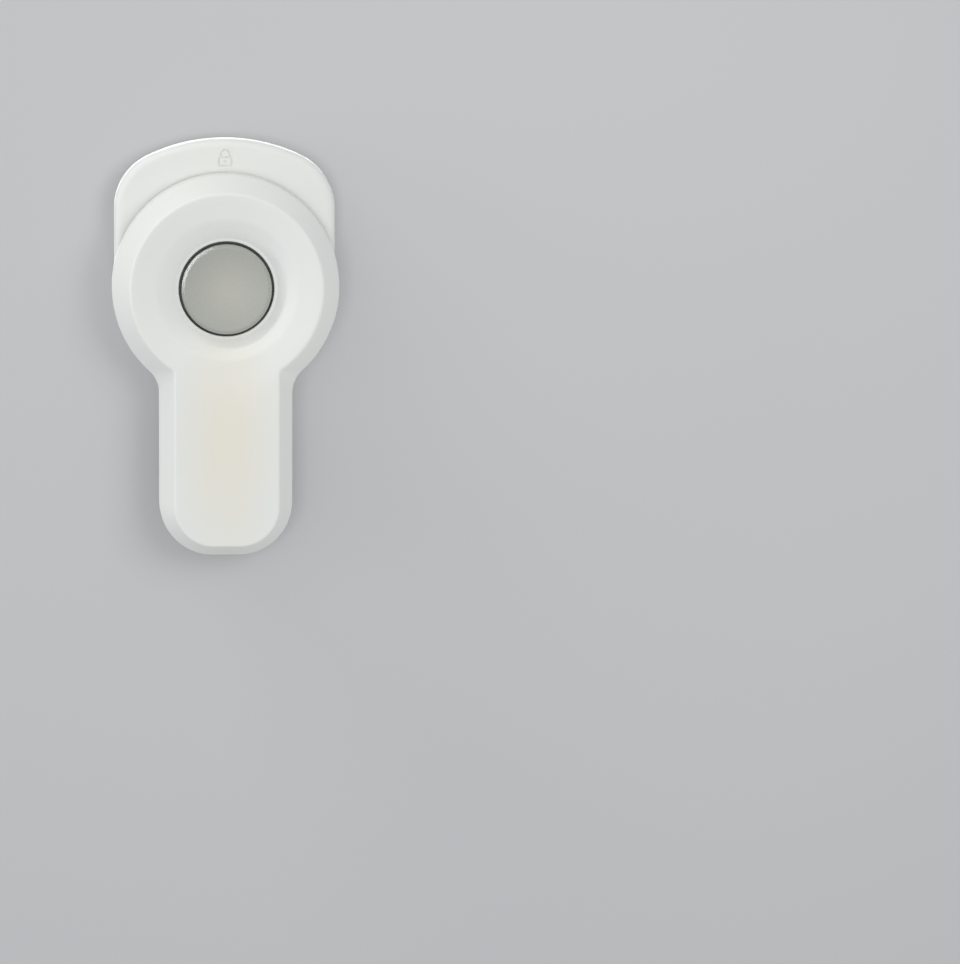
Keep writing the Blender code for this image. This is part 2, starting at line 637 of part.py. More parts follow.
def main():
    for leftover in list(bpy.data.objects):
        bpy.data.objects.remove(leftover)

    shell_white = finish("shell_white", (0.79, 0.80, 0.76), 0.42)
    hidden_white = finish("hidden_white", (0.72, 0.72, 0.69), 0.5)
    button_grey = finish("button_grey", (0.44, 0.44, 0.39), 0.38)
    acetal = finish("acetal", (0.62, 0.62, 0.58), 0.35)
    nylon = finish("nylon", (0.70, 0.68, 0.60), 0.45)
    steel = finish("steel", (0.58, 0.58, 0.58), 0.3, 1.0)
    foam_tape = finish("foam_tape", (0.55, 0.56, 0.57), 0.85)
    soft_rubber = finish("soft_rubber", (0.30, 0.30, 0.31), 0.8)

    lock = make_empty("lock")
    lock.rotation_euler = (math.pi / 2, 0, 0)
    base = make_empty("base_mount", lock)
    arm = make_empty("arm_pivot", lock)
    button = make_empty("button_axis", lock)

    make_adhesive_pad(base, foam_tape)
    make_back_plate(base, hidden_white)
    make_base_housing(base, shell_white)
    make_screws("base_screw", BASE_REAR, INNER_FLOOR, BASE_SCREWS, base, steel)
    make_retaining_ring(base, steel)
    make_lock_latch(base, acetal)
    make_return_spring(base, steel)

    make_arm_cover(arm, shell_white)
    make_arm_back(arm, hidden_white)
    make_screws("arm_screw", ARM_REAR, ARM_FLOOR + SEAT, TAIL_SCREWS, arm, steel)
    make_friction_washer(arm, nylon)
    make_door_pad(arm, soft_rubber)

    make_button_cap(button, button_grey)
    make_button_plunger(button, acetal)


main()
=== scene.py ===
"""Looks of the oven safety lock: smooth moulded shells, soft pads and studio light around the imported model.

Shapes are drawn lying flat, as (x, y, depth): x to the right, y up and depth out of the oven's panel. In the
frame that is (x, -depth, y). The pivot of the arm and the button is the depth axis. Lengths are in metres.
"""

import math

import bmesh
import bpy
import numpy as np
from mathutils import Matrix, Quaternion, Vector


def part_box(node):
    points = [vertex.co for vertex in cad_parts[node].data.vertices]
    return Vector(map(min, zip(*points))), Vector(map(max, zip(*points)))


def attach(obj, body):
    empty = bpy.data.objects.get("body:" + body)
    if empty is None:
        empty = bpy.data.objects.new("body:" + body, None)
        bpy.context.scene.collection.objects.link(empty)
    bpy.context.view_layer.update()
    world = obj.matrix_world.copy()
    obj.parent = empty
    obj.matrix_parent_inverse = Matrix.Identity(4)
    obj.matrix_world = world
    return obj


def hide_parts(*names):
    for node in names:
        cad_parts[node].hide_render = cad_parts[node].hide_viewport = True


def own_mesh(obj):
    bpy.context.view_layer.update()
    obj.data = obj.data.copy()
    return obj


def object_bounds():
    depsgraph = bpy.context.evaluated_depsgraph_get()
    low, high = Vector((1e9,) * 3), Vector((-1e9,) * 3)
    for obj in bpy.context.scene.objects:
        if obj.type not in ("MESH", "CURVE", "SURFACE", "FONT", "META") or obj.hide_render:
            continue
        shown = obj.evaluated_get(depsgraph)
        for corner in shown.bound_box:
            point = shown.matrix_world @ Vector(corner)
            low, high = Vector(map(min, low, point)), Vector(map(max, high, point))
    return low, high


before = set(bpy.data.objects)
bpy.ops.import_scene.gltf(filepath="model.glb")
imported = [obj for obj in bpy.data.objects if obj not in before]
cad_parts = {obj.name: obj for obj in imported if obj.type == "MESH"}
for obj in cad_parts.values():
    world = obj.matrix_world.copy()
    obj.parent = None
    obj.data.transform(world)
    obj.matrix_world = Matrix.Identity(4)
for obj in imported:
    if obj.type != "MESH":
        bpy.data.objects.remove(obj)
cad_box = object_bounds()

MM = 0.001
SCREW_NUMBERS = range(1, 5)


def depths(node):
    """Rear and front depth of a CAD node."""
    low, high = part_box(node)
    return -high.y, -low.y


def place_of(node):
    """Middle of a CAD node, as (x, y)."""
    low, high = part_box(node)
    return (low.x + high.x) / 2, (low.z + high.z) / 2


def screw_places(name):
    """Middles of the CAD screws of a name."""
    return [place_of(f"{name}_{number}") for number in SCREW_NUMBERS]


# Base, with its size from the frame
BASE_WIDTH = 2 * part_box("base_housing")[1].x
BASE_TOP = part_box("base_housing")[1].z
BASE_REAR, HUB_FRONT = depths("base_housing")
BASE_DEPTH = 7.0 * MM
BASE_FRONT = BASE_REAR + BASE_DEPTH
BASE_ARCH = 46.5 * MM
BASE_CORNER = 15.3 * MM
BASE_EDGE = 2.0 * MM
BASE_FLAT = BASE_EDGE + 0.5 * MM
BASE_REAR_LAND = 0.4 * MM
BASE_REAR_ROUND = 0.3 * MM
WALL = 2.0 * MM
BASE_CEILING = BASE_FRONT - WALL
SEAT = 0.3 * MM

# Foam tape behind the base
PAD_THICKNESS = depths("adhesive_pad")[1]
PAD_INSET = 1.5 * MM
PAD_BULGE = 0.18 * MM
PAD_RINGS = 9

# Inside the base: the hub with the retaining ring's groove and the latch's windows, and the swing stop
INNER_FLOOR = depths("back_plate")[1] + SEAT
HUB_RADIUS = 8.87 * MM
HUB_BORE = 7.08 * MM
HUB_ROUND = 0.25 * MM
HUB_FOOT = HUB_RADIUS + 1.5 * MM
HUB_FOOT_ROUND = 0.3 * MM
GROOVE_RADIUS = 7.98 * MM
GROOVE_REAR = depths("retaining_ring")[0] - SEAT / 2
GROOVE_FRONT = depths("retaining_ring")[1] + SEAT / 2
WINDOW_REACH = HUB_RADIUS + 1.0 * MM
WINDOW_HALF = 2.8 * MM
WINDOW_DEPTH = 2.6 * MM
WINDOW_REAR = BASE_FRONT + SEAT
WINDOW_FRONT = WINDOW_REAR + WINDOW_DEPTH
STOP_REACH = 23.35 * MM
STOP_RADIUS = 1.6 * MM
STOP_HEIGHT = 1.9 * MM
STOP_ROUND = 0.3 * MM
BOSS_RADIUS = 3.05 * MM
PILOT_RADIUS = 1.55 * MM
PILOT_DEPTH = 3.0 * MM
POST_SIDES = 32

# Arm, with its size from the frame
HEAD_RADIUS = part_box("arm_cover")[1].z
TAIL_REACH = -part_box("arm_cover")[0].z
ARM_REAR, FACE = depths("arm_cover")
ARM_PLATE = 1.8 * MM
ARM_FLOOR = ARM_REAR + ARM_PLATE
ARM_REAR_LAND = 0.5 * MM
ARM_REAR_ROUND = 0.35 * MM
SIDE_HEIGHT = 5.0 * MM
SIDE_FRONT = ARM_REAR + SIDE_HEIGHT
SIDE_ROUND = 2.5 * MM
TAIL_HALF = 17.5 * MM
TAIL_CORNER = 14.1 * MM
NECK_FILLET = 8.5 * MM
FACE_NECK_FILLET = 2.0 * MM
HEAD_SLOPE = 4.5 * MM
TAIL_SLOPE = 3.8 * MM
TAIL_END_SLOPE = 3.2 * MM
FACE_ROUND = 1.0 * MM
FACE_FLAT = HEAD_SLOPE + 0.56 * MM
INNER_FACE_INSETS = (5.6 * MM, 5.0 * MM, 4.5 * MM)
INNER_SIDE_FRONT = SIDE_FRONT - 0.6 * MM

# Seat of the button in the head: a shallow dish that runs out along the tail, and a countersink with a lip
DISH_RADIUS = 24.75 * MM
DISH_DEPTH = 1.1 * MM
DISH_RUNOUT = 6.0 * MM
DISH_SOFT = 0.8 * MM
TAIL_SECTOR = math.radians(36)
TAIL_SOFTER = 2
SINK_RADIUS = 18.53 * MM
SINK_DEPTH = 3.2 * MM
SINK_SOFT = 0.2 * MM
RIM_RADIUS = 12.53 * MM
RIM_FRONT = FACE - DISH_DEPTH - SINK_DEPTH
RIM_WALL = 1.8 * MM
RIM_REAR = RIM_FRONT - RIM_WALL
RIM_ROUND = 0.2 * MM
LIP_WIDTH = 0.8 * MM
LIP_HEIGHT = 0.18 * MM
LIP_ROUND = 0.25 * MM

# Rings over the head: shares of the way from dish to face edge, then first radius, last radius and count
FACE_SHARES = (0.7, 0.45, 0.3, 0.2, 0.13, 0.08, 0.04)
SEAT_RADII = [(DISH_RADIUS - 0.3 * MM, SINK_RADIUS + 1.2 * MM, 8),
              (SINK_RADIUS + 0.8 * MM, SINK_RADIUS - 0.8 * MM, 9),
              (SINK_RADIUS - 1.4 * MM, RIM_RADIUS + LIP_WIDTH, 6)]

# Button
BUTTON_RADIUS = 11.83 * MM
FLANGE_REAR, BUTTON_FRONT = depths("button_cap")
FLANGE_THICKNESS = 0.9 * MM
FLANGE_FRONT = FLANGE_REAR + FLANGE_THICKNESS
FLANGE_RADIUS = 13.43 * MM
BUTTON_DISH = 0.9 * MM
BUTTON_DISH_STEPS = 16
BUTTON_EDGE = 0.85 * MM
BUTTON_EDGE_DROP = 0.65 * MM
BUTTON_EDGE_ROUND = 0.3 * MM
BUTTON_ROUND = 0.2 * MM
BUTTON_WALL = 1.8 * MM
BUTTON_CEILING = BUTTON_FRONT - BUTTON_DISH - BUTTON_WALL
SKIRT_INSIDE = 10.78 * MM
PEG_RADIUS = 1.4 * MM
PEG_LENGTH = 1.2 * MM
PEG_REAR = BUTTON_CEILING - PEG_LENGTH

# Spring under the button, with a closed coil at each end
SPRING_RADIUS = 2.2 * MM
SPRING_WIRE = 0.6 * MM
SPRING_REAR, SPRING_FRONT = depths("return_spring")
SPRING_TURNS = 9.0
CLOSED_TURNS = 1.0
CLOSED_PITCH = SPRING_WIRE * 1.06
SPRING_SIDES = 12
STEPS_PER_TURN = 28

# Soft pad behind the tail
DOOR_PAD_LOW, DOOR_PAD_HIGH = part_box("door_pad")
DOOR_PAD_REAR, DOOR_PAD_FRONT = depths("door_pad")
DOOR_PAD_CORNER = 6.0 * MM
DOOR_PAD_EDGE = 1.4 * MM
DOOR_PAD_FLAT = DOOR_PAD_EDGE + 1.0 * MM
DOOR_PAD_LAND = 0.25 * MM
DOOR_PAD_ROUND = 0.2 * MM

# Sunk-head screws
SCREW_HEAD_RADIUS = 2.4 * MM
SCREW_BEVEL = 0.12 * MM
SCREW_RADIUS = 1.25 * MM
SCREW_ROOT = 0.95 * MM
SCREW_PITCH = 0.9 * MM
SCREW_TIP = 0.9 * MM
SCREW_TIP_SHARE = 0.4
SCREW_SIDES = 28
THREAD_STEPS = 8
THREAD_STEEPNESS = 1.5
RECESS_REACH = 1.35 * MM
RECESS_HALF = 0.27 * MM
RECESS_DEPTH = 0.9 * MM

# Moulded padlock sign on the base, above the head
SIGN_BOTTOM = 31.4 * MM
SIGN_WIDTH = 3.8 * MM
SIGN_HEIGHT = 2.7 * MM
SIGN_CORNER = 0.6 * MM
SIGN_INNER_CORNER = 0.25 * MM
SIGN_SHACKLE = 1.15 * MM
SIGN_LEG = 0.55 * MM
SIGN_LINE = 0.42 * MM
SIGN_DOT = SIGN_LINE * 0.8
SIGN_DEPTH = 0.3 * MM

# Backdrop: a wall just behind the lock, a bend and a floor
BACKDROP_Y = 0.0008
BACKDROP_HALF = 1.6
BACKDROP_TOP = 1.0
BEND_RADIUS = 0.12
FLOOR_Z = -0.34
FLOOR_REACH = 1.6
PAPER_GREY = (0.57, 0.575, 0.58, 1.0)

# World: the light on the object, the background that shows, and half the width of the change to behind
SOFT_LIGHT = (0.98, 0.992, 1.025, 1.0)
PALE_BACKGROUND = (0.98, 0.99, 1.0, 1.0)
BEHIND_CHANGE = 0.15

# Camera, from the photograph: the lock's place in the picture and the size of a pixel on it
PICTURE = (960, 964)
LOCK_PIXEL = (226.2, 346.0)
PIXEL = 0.2638 * MM
AZIMUTH = math.radians(-2.5)
ELEVATION = math.radians(7.0)
ROLL = math.radians(0.33)
DISTANCE = 1.6
SENSOR_WIDTH = 36.0

# Edges that turn by more than this stay sharp when a mesh is shaded
SHARP_ANGLE = math.radians(50)


# Outlines: the base's and the arm's have the pivot inside, so that their rings have one point per direction
def arc(x, y, radius, start, end, steps):
    """Points on an arc, both ends included."""
    angles = np.linspace(start, end, steps + 1)
    return np.stack([x + radius * np.cos(angles), y + radius * np.sin(angles)], axis=1)


def circle(radius, steps, y=0):
    """Points on a full circle round the pivot or above it, each once."""
    return arc(0, y, radius, 0, 2 * math.pi, steps)[:-1]


def line(start, end, steps):
    """Points between two ends, neither included."""
    shares = np.arange(1, steps)[:, None] / steps
    return np.array(start) + (np.array(end) - np.array(start)) * shares


def upright(x, start, end, steps):
    """Points between two ends of an upright line, at even angles round the pivot, neither end included."""
    angles = np.linspace(math.atan2(start, abs(x)), math.atan2(end, abs(x)), steps + 1)[1:-1]
    return np.stack([np.full(steps - 1, x), abs(x) * np.tan(angles)], axis=1)


def shield(inset):
    """The base's outline, moved inwards by inset."""
    half = BASE_WIDTH / 2 - inset
    arch = BASE_ARCH - inset
    corner = BASE_CORNER - inset
    arch_y = BASE_TOP - BASE_ARCH
    corner_x = half - corner
    corner_y = arch_y + math.sqrt((arch - corner) ** 2 - corner_x ** 2)
    turn = math.atan2(corner_y - arch_y, corner_x)
    return np.concatenate([
        arc(0, 0, half, -math.pi, 0, steps=120),
        upright(half, 0, corner_y, steps=16),
        arc(corner_x, corner_y, corner, 0, turn, steps=28),
        arc(0, arch_y, arch, turn, math.pi - turn, steps=60)[1:-1],
        arc(-corner_x, corner_y, corner, math.pi - turn, math.pi, steps=28),
        upright(-half, corner_y, 0, steps=16)])


def keyhole(head_inset, tail_inset, end_inset, neck):
    """The arm's outline, with head, tail and tail's end moved inwards and a neck fillet between them."""
    head = HEAD_RADIUS - head_inset
    half = TAIL_HALF - tail_inset
    corner = TAIL_CORNER - tail_inset
    end_y = end_inset - TAIL_REACH
    neck_x = half + neck
    neck_y = -math.sqrt((head + neck) ** 2 - neck_x ** 2)
    join = math.atan2(neck_y, neck_x)
    flat = half - corner
    return np.concatenate([
        arc(0, 0, head, join, math.pi - join, steps=200),
        arc(-neck_x, neck_y, neck, -join, 0, steps=14)[1:],
        upright(-half, neck_y, end_y + corner, steps=30),
        arc(-flat, end_y + corner, corner, math.pi, 1.5 * math.pi, steps=24),
        line((-flat, end_y), (flat, end_y), steps=10),
        arc(flat, end_y + corner, corner, 1.5 * math.pi, 2 * math.pi, steps=24),
        upright(half, end_y + corner, neck_y, steps=30),
        arc(neck_x, neck_y, neck, math.pi, math.pi + join, steps=14)[:-1]])


def slope_ring(inset):
    """The arm's outline part of the way up its slope, or outside it where inset is below zero."""
    share = min(max(inset / HEAD_SLOPE, 0.0), 1.0)
    neck = NECK_FILLET + (FACE_NECK_FILLET - NECK_FILLET) * share
    return keyhole(inset, inset * TAIL_SLOPE / HEAD_SLOPE, inset * TAIL_END_SLOPE / HEAD_SLOPE, neck)


def circle_like(outline, radius):
    """A circle round the pivot whose points lie in the directions of an outline's points."""
    return outline / np.linalg.norm(outline, axis=1)[:, None] * radius


def rounded_box(left, bottom, right, top, radius, steps=12):
    """A box with round corners."""
    quarter = math.pi / 2
    return np.concatenate([
        arc(right - radius, top - radius, radius, 0, quarter, steps),
        arc(left + radius, top - radius, radius, quarter, 2 * quarter, steps),
        arc(left + radius, bottom + radius, radius, 2 * quarter, 3 * quarter, steps),
        arc(right - radius, bottom + radius, radius, 3 * quarter, 4 * quarter, steps)])


def stroke(path, width):
    """Outline of a band that follows a path of (x, y) points."""
    path = np.asarray(path, float)
    along = np.gradient(path, axis=0)
    along /= np.linalg.norm(along, axis=1)[:, None]
    side = np.stack([-along[:, 1], along[:, 0]], axis=1) * width / 2
    return np.concatenate([path + side, (path - side)[::-1]])


def rounded_path(points, radii, steps=5):
    """A path with an arc of the given radius at each inner corner, which a radius of zero keeps sharp."""
    points = [Vector(p) for p in points]
    path = [points[0]]
    for before, corner, after, radius in zip(points, points[1:], points[2:], radii):
        if not radius:
            path.append(corner)
            continue
        back = (before - corner).normalized()
        ahead = (after - corner).normalized()
        half = back.angle(ahead) / 2
        centre = corner + (back + ahead).normalized() * (radius / math.sin(half))
        first = corner + back * (radius / math.tan(half)) - centre
        turn = first.angle_signed(corner + ahead * (radius / math.tan(half)) - centre)
        for i in range(steps + 1):
            angle = -turn * i / steps
            cos, sin = math.cos(angle), math.sin(angle)
            path.append(centre + Vector((first.x * cos - first.y * sin, first.x * sin + first.y * cos)))
    return path + [points[-1]]


# Meshes
def at_depth(outline, depth):
    """An outline's points at one depth, or each at its own."""
    return np.column_stack([outline, np.broadcast_to(depth, len(outline))])


def to_frame(points):
    """Points drawn flat, turned upright into the model's frame."""
    points = np.asarray(points, float)
    return np.stack([points[:, 0], -points[:, 2], points[:, 1]], axis=1)


def shade(mesh):
    """Smooth shading, with hard edges kept sharp."""
    mesh.shade_smooth()
    mesh.set_sharp_from_angle(angle=SHARP_ANGLE)


def new_object(name, points, faces):
    """A mesh object from points drawn flat, with its faces turned outwards."""
    mesh = bpy.data.meshes.new(name)
    mesh.from_pydata(to_frame(points).tolist(), [], faces)
    shape = bmesh.new()
    shape.from_mesh(mesh)
    bmesh.ops.recalc_face_normals(shape, faces=shape.faces)
    shape.to_mesh(mesh)
    shape.free()
    shade(mesh)
    piece = bpy.data.objects.new(name, mesh)
    bpy.context.scene.collection.objects.link(piece)
    return piece


def loft(name, rings, closed=False):
    """A body through rings of equal count: closed on itself, or with a flat face on its two end rings."""
    count = len(rings[0])
    points = np.concatenate(rings)
    faces = []
    for k in range(len(rings) if closed else len(rings) - 1):
        near = k * count
        far = (k + 1) % len(rings) * count
        for i in range(count):
            j = (i + 1) % count
            faces.append((near + i, near + j, far + j, far + i))
    if not closed:
        faces.append(tuple(range(count))[::-1])
        faces.append(tuple(range(len(points) - count, len(points))))
    return new_object(name, points, faces)


def turned(name, path, steps=160, centres=((0.0, 0.0),)):
    """Turned bodies, one at each centre, from a path of (radius, depth) with both ends on the axis."""
    around = circle(1, steps)
    inner = path[1:-1]
    points, faces = [], []
    for x, y in centres:
        tip = len(points)
        points += [(x, y, path[0][1]), (x, y, path[-1][1])]
        for radius, depth in inner:
            points += at_depth(around * radius + (x, y), depth).tolist()
        start = tip + 2
        last = start + (len(inner) - 1) * steps
        for i in range(steps):
            j = (i + 1) % steps
            faces.append((tip, start + i, start + j))
            faces.append((tip + 1, last + j, last + i))
            for k in range(len(inner) - 1):
                near = start + k * steps
                far = near + steps
                faces.append((near + i, near + j, far + j, far + i))
    return new_object(name, points, faces)


def combine(piece, operation, other):
    """Joins another object to a piece or cuts it away, for good, and removes that object."""
    change = piece.modifiers.new("change", "BOOLEAN")
    change.operation = operation
    change.solver = "EXACT"
    change.object = other
    seen = bpy.context.evaluated_depsgraph_get()
    mesh = bpy.data.meshes.new_from_object(piece.evaluated_get(seen))
    piece.modifiers.clear()
    piece.data = mesh
    shade(mesh)
    bpy.data.objects.remove(other)


def screw_bosses(foot, roof, centres):
    """Posts for screws, from a foot with a blind pilot hole up into the roof of a shell."""
    path = [(0, foot + PILOT_DEPTH), (PILOT_RADIUS, foot + PILOT_DEPTH), (PILOT_RADIUS, foot),
            (BOSS_RADIUS, foot), (BOSS_RADIUS, roof + WALL / 4), (0, roof + WALL / 4)]
    return turned("bosses", path, POST_SIDES, centres)


# Materials
def new_material(name, **values):
    """A Principled material with values on its own sockets, named in lower case with underscores."""
    material = bpy.data.materials.new(name)
    material.use_nodes = True
    shader = material.node_tree.nodes["Principled BSDF"]
    for key, value in values.items():
        shader.inputs[key.replace("_", " ").title().replace("Ior", "IOR")].default_value = value
    return material, material.node_tree, shader


def object_place(tree):
    """The place on the object, shared by a material's patterns."""
    place = tree.nodes.get("place") or tree.nodes.new("ShaderNodeTexCoord")
    place.name = "place"
    return place.outputs["Object"]


def add_noise(tree, scale, detail, distortion=0.0):
    """A noise over the object, with scale in waves per metre."""
    noise = tree.nodes.new("ShaderNodeTexNoise")
    noise.inputs["Scale"].default_value = scale
    noise.inputs["Detail"].default_value = detail
    noise.inputs["Distortion"].default_value = distortion
    tree.links.new(object_place(tree), noise.inputs["Vector"])
    return noise.outputs["Fac"]


def spread(tree, value, low, high, start=0.3, end=0.7):
    """Maps a value between start and end to a range; a noise mostly stays between 0.3 and 0.7."""
    mapped = tree.nodes.new("ShaderNodeMapRange")
    mapped.inputs["From Min"].default_value = start
    mapped.inputs["From Max"].default_value = end
    mapped.inputs["To Min"].default_value = low
    mapped.inputs["To Max"].default_value = high
    tree.links.new(value, mapped.inputs["Value"])
    return mapped.outputs["Result"]


def blend_colours(tree, share, first, second):
    """A blend by share of two colours, where the first may come from another node."""
    mix = tree.nodes.new("ShaderNodeMix")
    mix.data_type = "RGBA"
    tree.links.new(share, mix.inputs["Factor"])
    if isinstance(first, tuple):
        mix.inputs["A"].default_value = (*first, 1.0)
    else:
        tree.links.new(first, mix.inputs["A"])
    mix.inputs["B"].default_value = (*second, 1.0)
    return mix.outputs["Result"]


def cloud_colours(tree, shader, noise, first, second):
    """Two colours that drift into each other with a noise."""
    colour = blend_colours(tree, spread(tree, noise, 0.0, 1.0), first, second)
    tree.links.new(colour, shader.inputs["Base Color"])


def vary_gloss(tree, shader, noise, gloss):
    """A roughness between the two values of gloss, by a noise."""
    tree.links.new(spread(tree, noise, *gloss), shader.inputs["Roughness"])


def add_bump(tree, shader, heights):
    """Stacks bumps from (height, distance) pairs onto the shader's normal."""
    normal = None
    for height, distance in heights:
        bump = tree.nodes.new("ShaderNodeBump")
        bump.inputs["Strength"].default_value = 1.0
        bump.inputs["Distance"].default_value = distance
        tree.links.new(height, bump.inputs["Height"])
        if normal:
            tree.links.new(normal, bump.inputs["Normal"])
        normal = bump.outputs["Normal"]
    tree.links.new(normal, shader.inputs["Normal"])


def vector_step(tree, operation, value, by=None):
    """One step of vector arithmetic on a value, by a constant where it takes one."""
    step = tree.nodes.new("ShaderNodeVectorMath")
    step.operation = operation
    tree.links.new(value, step.inputs[0])
    if by:
        step.inputs[1].default_value = by
    return step.outputs["Value" if operation == "LENGTH" else "Vector"]


def distance_from(tree, centre, reach):
    """Distance from a place on the object, in parts of a reach along each of its axes."""
    offset = vector_step(tree, "SUBTRACT", object_place(tree), centre)
    return vector_step(tree, "LENGTH", vector_step(tree, "DIVIDE", offset, reach))


def moulded(name, first, second, gloss, grain, swell=0.00012, level=0.45, tints=()):
    """Moulded plastic: a faint drift of tint, an eroded-mould grain and a slow swell from shrinkage.

    Tints are (colour, centre, reach, start, end): a colour that fades in between two distances from a centre.
    """
    material, tree, shader = new_material(name, specular_ior_level=level)
    drift = spread(tree, add_noise(tree, scale=38, detail=3.0), 0.0, 1.0)
    colour = blend_colours(tree, drift, first, second)
    for tint, centre, reach, start, end in tints:
        share = spread(tree, distance_from(tree, centre, reach), 0.0, 1.0, start, end)
        colour = blend_colours(tree, share, colour, tint)
    tree.links.new(colour, shader.inputs["Base Color"])
    vary_gloss(tree, shader, add_noise(tree, scale=260, detail=4.0), gloss)
    shrinkage = add_noise(tree, scale=55, detail=1.0)
    erosion = add_noise(tree, scale=3200, detail=2.0)
    add_bump(tree, shader, [(shrinkage, swell), (erosion, grain)])
    return material


def speckled(name, first, second, gloss, cell, depth):
    """Foam or rubber: open pores or fine pimples from a cell pattern, with cloudy colour."""
    material, tree, shader = new_material(name)
    cloud_colours(tree, shader, add_noise(tree, scale=900, detail=5.0), first, second)
    vary_gloss(tree, shader, add_noise(tree, scale=500, detail=3.0), gloss)
    pores = tree.nodes.new("ShaderNodeTexVoronoi")
    pores.inputs["Scale"].default_value = cell
    tree.links.new(object_place(tree), pores.inputs["Vector"])
    add_bump(tree, shader, [(pores.outputs["Distance"], depth)])
    return material


def plated(name, first, second, gloss, scratch):
    """Drawn and plated steel: fine scratches and slightly uneven plating."""
    material, tree, shader = new_material(name, metallic=1.0)
    cloud_colours(tree, shader, add_noise(tree, scale=700, detail=4.0), first, second)
    vary_gloss(tree, shader, add_noise(tree, scale=1800, detail=3.0, distortion=1.5), gloss)
    add_bump(tree, shader, [(add_noise(tree, scale=5200, detail=3.0), scratch)])
    return material


# Painted light and shade, laid on as tints by place, where a reach of FLAT leaves an axis out
FLAT = 1.0e6
# Painted warm shade on the tail: its middle a little darker and warmer, for the warmer, weaker light that
# falls there
PAINTED_TAIL_SHADE = ((0.795, 0.765, 0.668), (0.0, 0.0, -39.0 * MM), (13.0 * MM, FLAT, 33.0 * MM), 1.1, 0.2)
# Painted shade on the button's face: darker towards its edge, lighter in the middle
PAINTED_BUTTON_EDGE_SHADE = ((0.368, 0.376, 0.342), (0.0, 0.0, 0.0), (BUTTON_RADIUS, FLAT, BUTTON_RADIUS), 0.15, 1.0)
# Painted shade in the gap round the button: its skirt goes dark from 2.2 mm behind its front
PAINTED_GAP_SHADE = ((0.14, 0.14, 0.133), (0.0, -BUTTON_FRONT, 0.0), (FLAT, MM, FLAT), 2.2, 2.8)

SHELL_WHITE = moulded("shell_white", (0.795, 0.805, 0.765), (0.780, 0.796, 0.773), gloss=(0.34, 0.44),
                      grain=0.000012, level=0.36, tints=[PAINTED_TAIL_SHADE])
HIDDEN_WHITE = moulded("hidden_white", (0.70, 0.71, 0.68), (0.68, 0.69, 0.66), gloss=(0.44, 0.56),
                       grain=0.000020)
BUTTON_GREY = moulded("button_grey", (0.458, 0.455, 0.397), (0.452, 0.450, 0.395), gloss=(0.24, 0.30),
                      grain=0.000006, swell=0.00003, level=0.8, tints=[PAINTED_BUTTON_EDGE_SHADE, PAINTED_GAP_SHADE])
ACETAL = moulded("acetal", (0.62, 0.62, 0.58), (0.60, 0.60, 0.55), gloss=(0.30, 0.40), grain=0.000010)
NYLON = moulded("nylon", (0.70, 0.68, 0.60), (0.67, 0.65, 0.57), gloss=(0.40, 0.52), grain=0.000014)
STEEL = plated("steel", (0.60, 0.60, 0.60), (0.54, 0.54, 0.55), gloss=(0.22, 0.36), scratch=0.000008)
FOAM_TAPE = speckled("foam_tape", (0.56, 0.57, 0.58), (0.50, 0.51, 0.52), gloss=(0.82, 0.95),
                     cell=2600, depth=0.00012)
SOFT_RUBBER = speckled("soft_rubber", (0.235, 0.235, 0.245), (0.205, 0.205, 0.215), gloss=(0.62, 0.76),
                       cell=1500, depth=0.00003)


def paint(piece, material):
    """Gives a piece one material in place of any it has."""
    piece.data.materials.clear()
    piece.data.materials.append(material)


def dress(piece, body, nodes, material):
    """A new piece takes the place of CAD nodes on a body, with one material."""
    paint(piece, material)
    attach(piece, body)
    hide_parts(*nodes)
    return piece


# Base
def base_rings():
    """Rings over the base from its rear edge round the front, up the hub and back along the inside."""
    outer = rounded_path([(BASE_REAR_LAND, BASE_REAR), (0, BASE_REAR), (0, BASE_FRONT),
                          (BASE_FLAT, BASE_FRONT)], [BASE_REAR_ROUND, BASE_EDGE], steps=8)
    rings = [at_depth(shield(inset), depth) for inset, depth in outer]
    hub = rounded_path([(HUB_FOOT, BASE_FRONT), (HUB_RADIUS, BASE_FRONT),
                        (HUB_RADIUS, GROOVE_REAR), (GROOVE_RADIUS, GROOVE_REAR),
                        (GROOVE_RADIUS, GROOVE_FRONT), (HUB_RADIUS, GROOVE_FRONT),
                        (HUB_RADIUS, HUB_FRONT), (HUB_BORE, HUB_FRONT), (HUB_BORE, INNER_FLOOR),
                        (HUB_RADIUS, INNER_FLOOR), (HUB_RADIUS, BASE_CEILING)],
                       [HUB_FOOT_ROUND, 0, 0, 0, 0, HUB_ROUND, HUB_ROUND, HUB_ROUND, HUB_ROUND], steps=3)
    rings += [at_depth(circle_like(shield(BASE_FLAT), radius), depth) for radius, depth in hub]
    return rings + [at_depth(shield(WALL), BASE_CEILING), at_depth(shield(WALL), BASE_REAR)]


